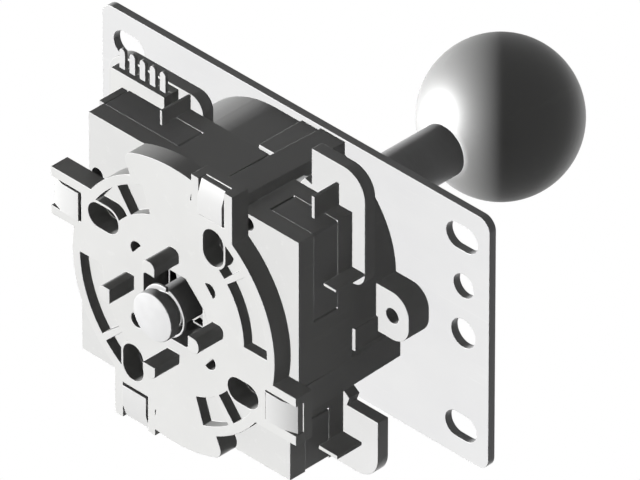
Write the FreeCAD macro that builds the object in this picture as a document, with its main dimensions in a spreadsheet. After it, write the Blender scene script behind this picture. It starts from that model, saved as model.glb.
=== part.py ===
import FreeCAD, Part
import math
import os

import Sketcher

# Arcade joystick lever, millimetres.
# Origin: top face of the mounting plate, on the lever's axis at rest. +Z points to the ball.
# Depths are counted down from the plate's underside.

doc = FreeCAD.newDocument("JoystickLever")
V = FreeCAD.Vector

# Driving dimensions
sizes = {
    "plate_long": 95.0, "plate_wide": 53.0, "plate_thick": 1.6, "plate_corner": 2.5,
    "slot_margin": 6.65, "slot_inset": 6.5, "slot_long": 7.6, "slot_wide": 5.2,
    "mid_hole_margin": 6.2, "mid_hole_radius": 2.9, "side_hole_out": 10.0, "side_hole_radius": 2.4,
    "plate_opening": 8.5,
    "drum_wide": 50.0, "drum_corner": 20.4, "housing_depth": 12.6,
    "wing_near": 16.9, "wing_start": 8.9, "wing_low": 9.7, "wing_reach": 4.85, "wing_long": 8.1,
    "wing_thick": 2.55, "wing_round": 5.0, "wing_small_round": 3.0,
    "gusset_start": 14.1, "gusset_end": 15.2, "gusset_out": 1.45, "gusset_step": 0.85,
    "ear_root": 3.0, "ear_reach": 8.0, "ear_half": 5.0, "ear_depth": 5.0, "ear_round": 4.0,
    "ear_hole_reach": 4.0, "ear_hole": 1.5, "screw_gap": 0.05,
    "screw_head": 2.8, "screw_head_thick": 1.5, "screw_long": 5.0,
    "drive_long": 3.4, "drive_wide": 0.6, "drive_deep": 0.8,
    "relief_near": 13.0, "relief_far": 20.5, "relief_deep": 8.0, "relief_span": 24.0,
    "relief_count": 8,
    "pad_start": 1.9, "pad_reach": 0.5, "pad_root": 2.0, "pad_depth": 10.5, "pad_step": 0.35,
    "pivot_lift": 6.6, "pivot_radius": 7.5, "pivot_gap": 0.05,
    "pivot_up": 4.1, "pivot_down": 4.6, "socket_hole": 6.3,
    "arm_low": 6.5, "arm_high": 12.45, "arm_inner": 23.0, "arm_root": 26.1, "arm_stem": 27.0,
    "hook_out": 30.0, "hook_seat": 0.1, "hook_nose": 1.2, "hook_thick": 2.2, "arm_gap": 0.2,
    "rest_out": 1.3, "rest_in": 13.0,
    "frame_tall": 13.05, "frame_out": 26.8, "frame_in": 24.65, "frame_step": 9.5,
    "cavity_half": 16.3, "cavity_floor": 2.05, "frame_hole": 7.6,
    "pilot_x": 14.5, "pilot_y": 22.6, "pilot_radius": 1.35, "pilot_deep": 3.0,
    "fin_x": 22.9, "fin_thick": 0.7, "fin_out": 29.15, "fin_tall": 6.0,
    "rib_at": 12.7, "rib_thick": 0.5, "rib_out": 29.8, "rib_tall": 7.0,
    "board_half": 22.0, "board_thick": 1.6, "board_hole": 12.2, "board_gap": 0.15,
    "header_left": 28.8, "header_right": 15.7, "header_near": 24.2, "header_far": 29.45,
    "header_thick": 1.9, "pin_wide": 1.4, "pin_thick": 0.7, "pin_drop": 0.75,
    "pin_end": 33.45, "pin_start": 25.0, "pin_first": 27.25, "pin_pitch": 2.5, "pin_count": 5,
    "pin_gap": 0.05,
    "case_left": 24.6, "case_long": 18.45, "case_near": 16.5, "case_deep": 10.2,
    "case_thick": 5.6, "case_drop": 9.25, "case_gap": 0.1, "case_edge": 0.4,
    "case_hole": 1.2, "case_hole_pitch": 9.5, "case_hole_back": 2.6,
    "hinge_x": 22.7, "hinge_y": 15.3, "hinge_pin": 0.5, "hinge_gap": 0.05,
    "eye_radius": 0.95, "eye_lap": 0.3, "lug_thick": 0.75,
    "lever_thick": 0.35, "lever_wide": 3.6, "lever_bend": 13.0, "lever_bend_y": 14.4,
    "lever_room": 0.45, "lever_flat": 6.5, "lever_flat_y": 9.7, "lever_tip": 4.0,
    "plunger_x": 16.4, "plunger_radius": 1.0, "plunger_gap": 0.08, "plunger_long": 4.2,
    "plunger_pocket": 4.0, "plunger_seat": 0.1,
    "terminal_wide": 1.4, "terminal_thick": 0.5, "terminal_pitch": 4.8, "terminal_back": 4.6,
    "terminal_proud": 0.3, "terminal_gap": 0.2,
    "gate_thick": 4.0, "gate_radius": 24.9, "lobe_radius": 29.1, "lobe_angle": 115.0,
    "lobe_round": 2.0, "lobe_lap": 3.0,
    "tab_low": 4.6, "tab_high": 14.6, "tab_out": 30.1, "tab_in": 15.0,
    "window_low": 6.4, "window_high": 12.6, "window_in": 22.65, "window_out": 27.3,
    "rim_lap": 0.5, "rim_thick": 2.05, "opening_flat": 7.25, "opening_vertex": 3.2,
    "stadium_x": 9.95, "stadium_y": 17.15, "stadium_long": 7.5, "stadium_wide": 5.0,
    "stadium_rim": 0.5,
    "pocket_in": 17.45, "pocket_out": 23.0, "pocket_deep": 2.0,
    "pocket_1_start": 0.0, "pocket_1_end": 40.0, "pocket_2_start": 43.5, "pocket_2_end": 60.0,
    "pocket_3_start": 108.6, "pocket_3_end": 126.0, "pocket_4_start": 130.0,
    "pocket_4_end": 150.0,
    "dhole_angle": 40.3, "dhole_at": 11.67, "dhole_radius": 1.5,
    "post_in": 9.65, "post_out": 12.3, "post_half": 1.5, "post_long": 5.95, "post_round": 1.2,
    "neck_radius": 3.75, "shaft_radius": 3.4, "end_radius": 4.75, "end_proud": 5.05,
    "end_thick": 2.1, "groove_radius": 3.5, "groove_wide": 1.35,
    "shaft_gap": 0.03, "thread_radius": 2.95, "thread_end": 10.5,
    "ring_outer": 5.1, "ring_inner": 4.35, "ring_shift_x": 0.33, "ring_shift_y": 0.2,
    "ring_thick": 0.6, "ring_slot": 0.75, "ring_lift": 2.8, "ring_angle": 280.2,
    "wheel_radius": 9.5, "wheel_half": 2.4, "wheel_drop": 6.45,
    "spring_radius": 6.6, "spring_wire": 1.0, "spring_pitch": 1.95, "spring_room": 0.35,
    "seat_outer": 9.0, "seat_inner": 6.0, "seat_thick": 1.0, "spring_tall": 7.0,
    "sleeve_radius": 5.0, "ball_radius": 15.0, "ball_height": 51.2, "ball_flat": 5.2,
    "insert_radius": 4.2, "insert_long": 14.0, "insert_room": 0.5,
}

# Dimensions that follow from the driving ones. Depths start at the plate's underside.
derived = {
    "slot_spacing_long": "plate_long - 2 * slot_margin",
    "slot_spacing_wide": "plate_wide - 2 * slot_inset",
    "mid_hole_out": "plate_long / 2 - mid_hole_margin",
    "drum_half": "drum_wide / 2",
    "wing_far": "drum_half + wing_reach",
    "wing_high": "drum_half + wing_long",
    "wing_top_depth": "housing_depth - wing_thick",
    "pivot_depth": "housing_depth - pivot_lift",
    "ear_start": "drum_half - ear_root",
    "ear_end": "drum_half + ear_reach",
    "ear_hole_out": "drum_half + ear_hole_reach",
    "frame_depth": "housing_depth + frame_tall",
    "cavity_depth": "frame_depth - cavity_floor",
    "fin_depth": "housing_depth + fin_tall",
    "rib_depth": "housing_depth + rib_tall",
    "board_depth": "housing_depth + board_thick",
    "pin_depth": "board_depth + pin_drop",
    "case_floor": "housing_depth + case_drop",
    "case_roof": "case_floor - case_thick",
    "case_middle": "case_long / 2 - case_left",
    "terminal_top": "housing_depth + terminal_proud",
    "gate_depth": "frame_depth + gate_thick",
    "rim_depth": "frame_depth + rim_thick",
    "post_depth": "gate_depth + post_long",
    "hook_catch": "rim_depth + hook_seat",
    "hook_edge": "hook_catch + hook_nose",
    "hook_tip": "hook_catch + hook_thick",
    "end_depth": "gate_depth + end_proud",
    "end_step": "end_depth - end_thick",
    "groove_top": "end_step - groove_wide",
    "ring_depth": "end_depth - ring_lift",
    "wheel_depth": "housing_depth + wheel_drop",
    "shoulder_depth": "wheel_depth + wheel_half",
    "spring_foot": "housing_depth + spring_tall",
    "ball_centre": "ball_height - plate_thick",
    "ball_base": "ball_centre - sqrt(ball_radius * ball_radius - ball_flat * ball_flat)",
}
aliases = list(sizes) + list(derived)

sheet = doc.addObject("Spreadsheet::Sheet", "Sizes")
for row, alias in enumerate(aliases, start=1):
    sheet.set(f"A{row}", alias)
    sheet.set(f"B{row}", str(sizes[alias]) if alias in sizes else "=" + derived[alias])
    sheet.setAlias(f"B{row}", alias)
doc.recompute()
probe = doc.addObject("App::FeaturePython", "Probe")
probe.addProperty("App::PropertyFloat", "reading")


def size(alias):
    return float(sheet.get(alias))


def cell(expression):
    """Write an expression of plain aliases with the sheet's name before each."""
    words = []
    word = ""
    for letter in expression + " ":
        if letter.isalnum() or letter == "_":
            word += letter
            continue
        words.append("Sizes." + word if word in aliases else word)
        words.append(letter)
        word = ""
    return "".join(words).strip()


def depth(expression):
    """The height of a depth that is counted down from the plate's underside."""
    return f"-(plate_thick + {expression})"


def worth(expression):
    """The present value of an expression, for a sketch's first guess."""
    probe.setExpression("reading", cell(expression))
    probe.recompute()
    return probe.reading


# Building blocks
def new_body(name):
    body = doc.addObject("PartDesign::Body", name)
    body.Label = name
    return body


def origin_item(body, role):
    return next(item for item in body.Origin.OriginFeatures if item.Role == role)


def new_sketch(body, name, level):
    sketch = body.newObject("Sketcher::SketchObject", name)
    sketch.AttachmentSupport = (origin_item(body, "XY_Plane"), [""])
    sketch.MapMode = "FlatFace"
    sketch.setExpression("AttachmentOffset.Base.z", cell(level))
    return sketch


def bind(sketch, kind, *links_and_expression):
    *links, expression = links_and_expression
    index = sketch.addConstraint(Sketcher.Constraint(kind, *links, worth(expression)))
    sketch.setExpression(f"Constraints[{index}]", cell(expression))


def add_outline(sketch, points):
    """Closed polygon whose corners are (x, y) expressions."""
    places = [V(worth(x), worth(y), 0) for x, y in points]
    first = sketch.GeometryCount
    count = len(points)
    for index in range(count):
        sketch.addGeometry(Part.LineSegment(places[index], places[(index + 1) % count]), False)
    for index in range(count):
        here = first + index
        after = first + (index + 1) % count
        sketch.addConstraint(Sketcher.Constraint("Coincident", here, 2, after, 1))
    for index, (x, y) in enumerate(points):
        bind(sketch, "DistanceX", -1, 1, first + index, 1, x)
        bind(sketch, "DistanceY", -1, 1, first + index, 1, y)


def add_circle(sketch, x, y, radius):
    place = V(worth(x), worth(y), 0)
    index = sketch.addGeometry(Part.Circle(place, V(0, 0, 1), worth(radius)), False)
    bind(sketch, "DistanceX", -1, 1, index, 3, x)
    bind(sketch, "DistanceY", -1, 1, index, 3, y)
    bind(sketch, "Radius", index, radius)


def box_points(left, front, right, back):
    return [(left, front), (right, front), (right, back), (left, back)]


def prism(body, name, shapes, low, high, cut=False):
    """Pad or pocket between two levels. A shape is a list of corners or (x, y, radius)."""
    sketch = new_sketch(body, name + "_sketch", low)
    for shape in shapes:
        if isinstance(shape, tuple):
            add_circle(sketch, *shape)
        else:
            add_outline(sketch, shape)
    feature = body.newObject("PartDesign::Pocket" if cut else "PartDesign::Pad", name)
    feature.Profile = sketch
    feature.setExpression("Length", cell(f"({high}) - ({low})"))
    feature.Reversed = cut
    doc.recompute()
    return feature


def around(body, name, features, turns=4):
    """Repeat features round the lever's axis."""
    pattern = body.newObject("PartDesign::PolarPattern", name)
    pattern.Originals = features
    pattern.Axis = (origin_item(body, "Z_Axis"), [""])
    pattern.Angle = 360.0
    pattern.Occurrences = int(turns)
    body.Tip = pattern
    doc.recompute()
    return pattern


def turned(body, name, points, cut=False):
    """Solid of revolution about the Z axis from (radius, height) corners."""
    sketch = body.newObject("Sketcher::SketchObject", name + "_sketch")
    sketch.AttachmentSupport = (origin_item(body, "XZ_Plane"), [""])
    sketch.MapMode = "FlatFace"
    add_outline(sketch, points)
    feature = body.newObject("PartDesign::Groove" if cut else "PartDesign::Revolution", name)
    feature.Profile = sketch
    feature.ReferenceAxis = (sketch, ["V_Axis"])
    feature.Angle = 360.0
    doc.recompute()
    return feature


def primitive(kind, name, **values):
    """Part primitive whose properties are expressions."""
    item = doc.addObject(kind, name)
    for key, expression in values.items():
        path = {"x": "Placement.Base.x", "y": "Placement.Base.y", "z": "Placement.Base.z"}
        item.setExpression(path.get(key, key), cell(expression))
    return item


def rounded(body, name, edges, radius, chamfer=False):
    kind = "PartDesign::Chamfer" if chamfer else "PartDesign::Fillet"
    feature = body.newObject(kind, name)
    feature.Base = (body.Tip if body.Tip != feature else feature.BaseFeature, edges)
    feature.setExpression("Size" if chamfer else "Radius", cell(radius))
    body.Tip = feature
    doc.recompute()
    return feature


def upright_edges(body, places, reach=0.05):
    """Names of the vertical edges that stand at the given (x, y) places."""
    found = []
    for index, edge in enumerate(body.Tip.Shape.Edges, start=1):
        box = edge.BoundBox
        if box.XLength > 0.01 or box.YLength > 0.01:
            continue
        for x, y in places:
            if abs(box.XMin - x) < reach and abs(box.YMin - y) < reach:
                found.append(f"Edge{index}")
    return found


def turned_places(places):
    """The given (x, y) places and their copies at each quarter turn."""
    copies = []
    for quarter in range(4):
        cosine = round(math.cos(quarter * math.pi / 2))
        sine = round(math.sin(quarter * math.pi / 2))
        copies += [(x * cosine - y * sine, x * sine + y * cosine) for x, y in places]
    return copies


parts = {}


def keep(name, item):
    item.Label = name
    parts[name] = item


# Mounting plate
def make_plate():
    body = new_body("mounting_plate")
    half_x = "plate_long / 2"
    half_y = "plate_wide / 2"
    prism(body, "sheet", [box_points(f"-{half_x}", f"-{half_y}", half_x, half_y)],
          "-plate_thick", "0")
    corners = [(side * size("plate_long") / 2, end * size("plate_wide") / 2)
               for side in (-1, 1) for end in (-1, 1)]
    rounded(body, "corners", upright_edges(body, corners), "plate_corner")
    holes = [("0", "0", "plate_opening"),
             ("mid_hole_out", "0", "mid_hole_radius"), ("-mid_hole_out", "0", "mid_hole_radius"),
             ("mid_hole_out", "-side_hole_out", "side_hole_radius"),
             ("-mid_hole_out", "side_hole_out", "side_hole_radius")]
    prism(body, "holes", holes, "-plate_thick", "0", cut=True)
    reach = "(slot_long - slot_wide) / 2"
    for side in ("-", ""):
        for end in ("-", ""):
            x = f"({side}slot_spacing_long / 2)"
            y = f"({end}slot_spacing_wide / 2)"
            name = "slot" + ("_left" if side else "_right") + ("_front" if end else "_back")
            prism(body, name, [box_points(f"{x} - {reach}", f"{y} - slot_wide / 2",
                                          f"{x} + {reach}", f"{y} + slot_wide / 2")],
                  "-plate_thick", "0", cut=True)
            for tip in ("-", "+"):
                prism(body, name + ("_low" if tip == "-" else "_high"),
                      [(f"{x} {tip} {reach}", y, "slot_wide / 2")], "-plate_thick", "0", cut=True)
    for side, word in (("-", "left"), ("", "right")):
        screw = f"{side}ear_hole_out"
        prism(body, f"screw_hole_{word}", [(screw, "0", "ear_hole + screw_gap")],
              "-plate_thick", "0", cut=True)
        sink = body.newObject("PartDesign::SubtractiveCone", f"sink_{word}")
        sink.setExpression("Radius1", cell("ear_hole + screw_gap"))
        sink.setExpression("Radius2", cell("screw_head + screw_gap"))
        sink.setExpression("Height", cell("screw_head_thick"))
        sink.setExpression("Placement.Base.x", cell(screw))
        sink.setExpression("Placement.Base.z", cell("-screw_head_thick"))
        doc.recompute()
    keep("mounting_plate", body)


# Flat-head screws through the plate into the ears
def make_plate_screws():
    screws = []
    for side, word in (("-", "left"), ("", "right")):
        head = primitive("Part::Cone", f"screw_head_{word}", Radius1="ear_hole - screw_gap",
                         Radius2="screw_head - screw_gap", Height="screw_head_thick",
                         x=f"{side}ear_hole_out", z="-screw_head_thick")
        shank = primitive("Part::Cylinder", f"screw_shank_{word}", Radius="ear_hole - screw_gap",
                          Height="screw_long - screw_head_thick", x=f"{side}ear_hole_out",
                          z="-screw_long")
        slot_long = primitive("Part::Box", f"screw_cross_{word}", Length="drive_long",
                              Width="drive_wide", Height="drive_deep",
                              x=f"{side}ear_hole_out - drive_long / 2",
                              y="-drive_wide / 2", z="-drive_deep")
        slot_across = primitive("Part::Box", f"screw_bar_{word}", Length="drive_wide",
                                Width="drive_long", Height="drive_deep",
                                x=f"{side}ear_hole_out - drive_wide / 2",
                                y="-drive_long / 2", z="-drive_deep")
        whole = doc.addObject("Part::MultiFuse", f"screw_blank_{word}")
        whole.Shapes = [head, shank]
        cross = doc.addObject("Part::MultiFuse", f"screw_drive_{word}")
        cross.Shapes = [slot_long, slot_across]
        screw = doc.addObject("Part::Cut", f"screw_{word}")
        screw.Base = whole
        screw.Tool = cross
        screws.append(screw)
    group = doc.addObject("Part::Compound", "plate_screws")
    group.Links = screws
    doc.recompute()
    keep("plate_screws", group)


# Moulded housing: drum, wings, ears and clip arms
def make_housing():
    body = new_body("main_housing")
    top = "-plate_thick"
    prism(body, "drum", [box_points("-drum_half", "-drum_half", "drum_half", "drum_half")],
          depth("housing_depth"), top)
    corner = size("drum_half")
    rounded(body, "drum_round", upright_edges(body, turned_places([(corner, corner)])),
            "drum_corner")
    gusset = "-(frame_in + gusset_out)"
    wing = [("wing_start", "-wing_low"), ("wing_start", "-(arm_inner - arm_gap)"),
            ("gusset_start", "-frame_in"), ("gusset_end", gusset),
            ("wing_near", "-(frame_in + gusset_step)"), ("wing_near", "-wing_high"),
            ("wing_far", "-wing_high"), ("wing_far", "-wing_low")]
    first = prism(body, "wing", [wing], depth("housing_depth"), depth("wing_top_depth"))
    around(body, "wings", [first])
    far = size("wing_far")
    rounded(body, "wing_round", upright_edges(
        body, turned_places([(far, -size("wing_high"))])), "wing_round")
    rounded(body, "wing_small_round", upright_edges(
        body, turned_places([(far, -size("wing_low"))])), "wing_small_round")
    for side, word in (("-", "left"), ("", "right")):
        start = f"{side}ear_start"
        end = f"{side}ear_end"
        prism(body, f"ear_{word}", [box_points(start, "-ear_half", end, "ear_half")],
              depth("ear_depth"), top)
    outer = [(side * size("ear_end"), end * size("ear_half"))
             for side in (-1, 1) for end in (-1, 1)]
    rounded(body, "ear_round", upright_edges(body, outer), "ear_round")
    prism(body, "ear_holes", [("ear_hole_out", "0", "ear_hole"),
                              ("-ear_hole_out", "0", "ear_hole")],
          depth("ear_depth"), top, cut=True)
    arm = body.newObject("Sketcher::SketchObject", "arm_sketch")
    arm.AttachmentSupport = (origin_item(body, "YZ_Plane"), [""])
    arm.MapMode = "FlatFace"
    arm.setExpression("AttachmentOffset.Base.z", cell("arm_low"))
    add_outline(arm, [
        ("-arm_inner", top), ("-arm_root", top), ("-arm_stem", depth("hook_catch")),
        ("-hook_out", depth("hook_catch")), ("-hook_out", depth("hook_edge")),
        ("-arm_stem", depth("hook_tip")), ("-arm_inner", depth("hook_tip"))])
    clip = body.newObject("PartDesign::Pad", "clip_arm")
    clip.Profile = arm
    clip.setExpression("Length", cell("arm_high - arm_low"))
    doc.recompute()
    around(body, "clip_arms", [clip])
    notch = prism(body, "pad_notch", [box_points("pad_start", "-(drum_half + pad_reach)", "arm_low",
                                                 "-(drum_half - pad_step)")],
                  depth("housing_depth"), depth("pad_depth"), cut=True)
    around(body, "pad_notches", [notch])
    pad = prism(body, "root_pad", [box_points("pad_start", "-(drum_half + pad_reach)", "arm_low",
                                              "-(drum_half - pad_root)")],
                depth("pad_depth"), top)
    around(body, "root_pads", [pad])
    level = depth("pivot_depth")
    prism(body, "pivot_bore", [("0", "0", "pivot_radius + pivot_gap")], level, top, cut=True)
    prism(body, "shaft_hole", [("0", "0", "socket_hole")], depth("housing_depth"), level, cut=True)
    socket = body.newObject("PartDesign::SubtractiveSphere", "socket")
    socket.setExpression("Radius", cell("pivot_radius + pivot_gap"))
    socket.setExpression("Placement.Base.z", cell(level))
    doc.recompute()
    prism(body, "seat_recess", [("0", "0", "seat_outer + screw_gap")], depth("housing_depth"),
          depth("housing_depth - seat_thick"), cut=True)
    angle = math.radians(size("relief_span") / 2)
    near, far_out = "relief_near", "relief_far"
    tangent = f"{math.tan(angle):.6f}"
    relief = prism(body, "relief", [[
        (near, f"-{near} * {tangent}"), (far_out, f"-{far_out} * {tangent}"),
        (far_out, f"{far_out} * {tangent}"), (near, f"{near} * {tangent}")]],
        depth("relief_deep"), top, cut=True)
    around(body, "reliefs", [relief], size("relief_count"))
    keep("main_housing", body)


# Tray that holds the switches
def make_frame():
    body = new_body("switch_frame")
    out, inner, step = "frame_out", "frame_in", "frame_step"
    points = [(f"-{inner}", f"-{out}"), (step, f"-{out}"), (step, f"-{inner}"),
              (out, f"-{inner}"), (out, step), (inner, step),
              (inner, out), (f"-{step}", out), (f"-{step}", inner),
              (f"-{out}", inner), (f"-{out}", f"-{step}"), (f"-{inner}", f"-{step}")]
    low = depth("frame_depth")
    high = depth("housing_depth")
    prism(body, "tray", [points], low, high)
    roof = depth("case_roof - case_gap")
    bay = prism(body, "switch_bay", [box_points(
        "-(case_left + frame_out - frame_in)", "-(frame_out + frame_out - frame_in)",
        "case_long - case_left + case_gap", "-(case_near - lever_room)")],
        depth("case_floor + case_gap"), roof, cut=True)
    around(body, "switch_bays", [bay])
    room = prism(body, "lever_room", [box_points(
        "-(hinge_x + eye_radius + lever_room)", "-case_near", "-(cavity_half - 1)",
        "-(hinge_y - eye_radius - 2 * lever_room)")], depth("case_floor + case_gap"), roof,
        cut=True)
    around(body, "lever_rooms", [room])
    fin = prism(body, "fin", [box_points("fin_x", "-fin_out", "fin_x + fin_thick", "-frame_in")],
                depth("fin_depth"), high)
    rib = prism(body, "rib", [box_points("frame_out", "-(rib_at + rib_thick)", "rib_out",
                                         "-rib_at")], depth("rib_depth"), high)
    around(body, "fins", [fin])
    around(body, "ribs", [rib])
    prism(body, "header_rest", [box_points("-(frame_in + rest_out)", "-(frame_out - case_gap)",
                                           "-frame_in", "-rest_in")],
          depth("case_floor"), depth("case_roof"))
    prism(body, "cavity", [box_points("-cavity_half", "-cavity_half", "cavity_half",
                                      "cavity_half")], depth("cavity_depth"), high, cut=True)
    edge = "board_half + board_gap"
    ledge = depth("board_depth")
    prism(body, "board_recess", [box_points(f"-({edge})", f"-({edge})", edge, edge)],
          ledge, high, cut=True)
    prism(body, "header_recess", [box_points(
        "-(header_left + board_gap)", "-(header_far + 1)", "-(header_right - board_gap)",
        "-(header_near - 2 * board_gap)")], depth("case_roof"), high, cut=True)
    prism(body, "board_neck", [box_points(
        f"-({edge})", "-(header_near + 1)", "-(header_right - board_gap)", "-(board_half - 1)")],
        ledge, high, cut=True)
    prism(body, "shaft_hole", [("0", "0", "frame_hole")], low, depth("cavity_depth"), cut=True)
    notch = prism(body, "arm_slot", [box_points(
        "arm_low - arm_gap", "-(frame_out + 1)", "arm_high + arm_gap",
        "-(arm_inner - arm_gap)")], low, high, cut=True)
    around(body, "arm_slots", [notch])
    pilot = prism(body, "pilot", [("pilot_x", "-pilot_y", "pilot_radius")], low,
                  depth("frame_depth - pilot_deep"), cut=True)
    around(body, "pilots", [pilot])
    places = terminal_places()
    slots = [box_points(f"{x} - terminal_wide / 2 - terminal_gap",
                        f"{y} - terminal_thick / 2 - terminal_gap",
                        f"{x} + terminal_wide / 2 + terminal_gap",
                        f"{y} + terminal_thick / 2 + terminal_gap") for x, y in places]
    first = prism(body, "terminal_slots", slots, depth("case_roof"), ledge, cut=True)
    around(body, "all_terminal_slots", [first])
    keep("switch_frame", body)


# Places of the first switch's three terminals
def terminal_places():
    y = "-(case_near + terminal_back)"
    return [("(case_middle - terminal_pitch)", y), ("case_middle", y),
            ("(case_middle + terminal_pitch)", y)]


# Circuit board under the housing
def make_board():
    body = new_body("circuit_board")
    low = depth("board_depth")
    high = depth("housing_depth")
    edge = "board_half"
    prism(body, "board", [[
        (f"-{edge}", f"-{edge}"), (f"-{edge}", "-header_near"), ("-header_left", "-header_near"),
        ("-header_left", "-header_far"), ("-header_right", "-header_far"),
        ("-header_right", f"-{edge}"), (edge, f"-{edge}"), (edge, edge), (f"-{edge}", edge)]],
        low, high)
    prism(body, "centre_hole", [("0", "0", "board_hole")], low, high, cut=True)
    slots = [box_points(f"{x} - terminal_wide / 2 - pin_gap",
                        f"{y} - terminal_thick / 2 - pin_gap",
                        f"{x} + terminal_wide / 2 + pin_gap",
                        f"{y} + terminal_thick / 2 + pin_gap") for x, y in terminal_places()]
    first = prism(body, "terminal_slots", slots, low, high, cut=True)
    around(body, "all_terminal_slots", [first])
    keep("circuit_board", body)


# Five-way header and its pins
def pin_left(index):
    return f"(-pin_first + {index} * pin_pitch - pin_wide / 2)"


def make_header():
    body = new_body("connector_header")
    high = depth("board_depth")
    low = depth("board_depth + header_thick")
    prism(body, "block", [box_points("-header_left", "-header_far", "-header_right",
                                     "-header_near")], low, high)
    pin_top = depth("pin_depth - pin_thick - pin_gap")
    slots = [box_points(f"{pin_left(i)} - pin_gap", "-(header_far + 1)",
                        f"{pin_left(i)} + pin_wide + pin_gap", "-(pin_start - pin_gap)")
             for i in range(int(size("pin_count")))]
    prism(body, "pin_ways", slots, depth("pin_depth + pin_gap"), pin_top, cut=True)
    keep("connector_header", body)


def make_pins():
    pins = []
    for index in range(int(size("pin_count"))):
        left = pin_left(index)
        shank = primitive("Part::Box", f"pin_{index + 1}_shank", Length="pin_wide",
                          Width="pin_end - pin_start - pin_wide / 2", Height="pin_thick",
                          x=left, y="-(pin_end - pin_wide / 2)", z=depth("pin_depth"))
        tip = primitive("Part::Cylinder", f"pin_{index + 1}_tip", Radius="pin_wide / 2",
                        Height="pin_thick", x=f"{left} + pin_wide / 2",
                        y="-(pin_end - pin_wide / 2)", z=depth("pin_depth"))
        pin = doc.addObject("Part::MultiFuse", f"pin_{index + 1}")
        pin.Shapes = [shank, tip]
        pins.append(pin)
    group = doc.addObject("Part::Compound", "connector_pins")
    group.Links = pins
    doc.recompute()
    keep("connector_pins", group)


# Switches: the first stands on the -Y side, the others at quarter turns
def quarter_copy(source, name, quarter):
    copy = doc.addObject("Part::Feature", name)
    copy.Shape = source.Shape.copy()
    copy.Placement = FreeCAD.Placement(V(0, 0, 0), FreeCAD.Rotation(V(0, 0, 1), 90 * quarter))
    return copy


def make_case():
    body = new_body("switch_case_1")
    low = depth("case_floor")
    high = depth("case_roof")
    right = "(case_long - case_left)"
    back = "-(case_near + case_deep)"
    prism(body, "case", [box_points("-case_left", back, right, "-case_near")], low, high)
    rounded(body, "case_edges", upright_edges(body, [
        (-size("case_left"), -size("case_near") - size("case_deep")),
        (size("case_long") - size("case_left"), -size("case_near") - size("case_deep"))]),
        "case_edge", chamfer=True)
    lug = [box_points("-(hinge_x + eye_radius)", "-case_near", "-(hinge_x - eye_radius)",
                      "-hinge_y")]
    crown = [("-hinge_x", "-hinge_y", "eye_radius")]
    levels = (("low", low, f"{low} + lug_thick"), ("high", f"{high} - lug_thick", high))
    for word, start, end in levels:
        prism(body, f"lug_{word}", lug, start, end)
        prism(body, f"lug_crown_{word}", crown, start, end)
    prism(body, "hinge_pin", [("-hinge_x", "-hinge_y", "hinge_pin")],
          f"{low} + lug_thick", f"{high} - lug_thick")
    y = "-(case_near + case_deep - case_hole_back)"
    prism(body, "fixing_holes", [("case_middle - case_hole_pitch / 2", y, "case_hole"),
                                 ("case_middle + case_hole_pitch / 2", y, "case_hole")],
          low, high, cut=True)
    way = body.newObject("PartDesign::SubtractiveCylinder", "plunger_way")
    way.setExpression("Radius", cell("plunger_radius + plunger_gap"))
    way.setExpression("Height", cell("plunger_pocket"))
    way.setExpression("Placement.Base.x", cell("-plunger_x"))
    way.setExpression("Placement.Base.y", cell("-case_near"))
    way.setExpression("Placement.Base.z", cell(f"({low} + ({high})) / 2"))
    way.Placement.Rotation = FreeCAD.Rotation(V(1, 0, 0), 90)
    doc.recompute()
    keep("switch_case_1", body)


# The lever's eye, a gentle first run, a bend towards the actuator and a flat end
def lever_line(offset):
    first = (-size("hinge_x") + size("eye_lap"), -size("hinge_y") + size("eye_radius") - offset)
    return [first, (-size("lever_bend"), -size("lever_bend_y") + size("lever_thick") - offset),
            (-size("lever_flat"), -size("lever_flat_y") - offset),
            (size("lever_tip"), -size("lever_flat_y") - offset)]


def make_lever():
    low = worth(depth("case_floor - (case_thick - lever_wide) / 2"))
    near = lever_line(0.0)
    far = lever_line(size("lever_thick"))
    wire = Part.makePolygon([V(x, y, low) for x, y in near + far[::-1] + near[:1]])
    strip = Part.Face(wire).extrude(V(0, 0, size("lever_wide")))
    hinge = V(-size("hinge_x"), -size("hinge_y"), low)
    eye = Part.makeCylinder(size("eye_radius"), size("lever_wide"), hinge)
    bore = Part.makeCylinder(size("hinge_pin") + size("hinge_gap"), size("lever_wide"), hinge)
    lever = doc.addObject("Part::Feature", "switch_lever_1")
    lever.Shape = strip.fuse(eye).cut(bore).removeSplitter()
    keep("switch_lever_1", lever)


# The outer face of the lever's strip at the plunger
def plunger_tip():
    far = lever_line(size("lever_thick"))
    (x1, y1), (x2, y2) = far[0], far[1]
    share = (-size("plunger_x") - x1) / (x2 - x1)
    return y1 + share * (y2 - y1) - size("plunger_seat")


def make_plunger():
    plunger = doc.addObject("Part::Feature", "switch_plunger_1")
    middle = worth(depth("case_floor - case_thick / 2"))
    radius = size("plunger_radius")
    tip = plunger_tip()
    rod = Part.makeCylinder(radius, size("plunger_long") - radius,
                            V(-size("plunger_x"), tip - radius, middle), V(0, -1, 0))
    crown = Part.makeSphere(radius, V(-size("plunger_x"), tip - radius, middle))
    plunger.Shape = rod.fuse(crown).removeSplitter()
    keep("switch_plunger_1", plunger)


def make_terminals():
    blades = []
    for index, (x, y) in enumerate(terminal_places()):
        blade = primitive("Part::Box", f"terminal_{index + 1}", Length="terminal_wide",
                          Width="terminal_thick",
                          Height="case_roof - terminal_top",
                          x=f"{x} - terminal_wide / 2", y=f"{y} - terminal_thick / 2",
                          z=depth("case_roof"))
        blades.append(blade)
    one = doc.addObject("Part::Compound", "terminals_of_one")
    one.Links = blades
    doc.recompute()
    quarters = [quarter_copy(one, f"terminals_{quarter + 1}", quarter) for quarter in range(4)]
    group = doc.addObject("Part::Compound", "switch_terminals")
    group.Links = quarters
    doc.recompute()
    keep("switch_terminals", group)


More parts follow.
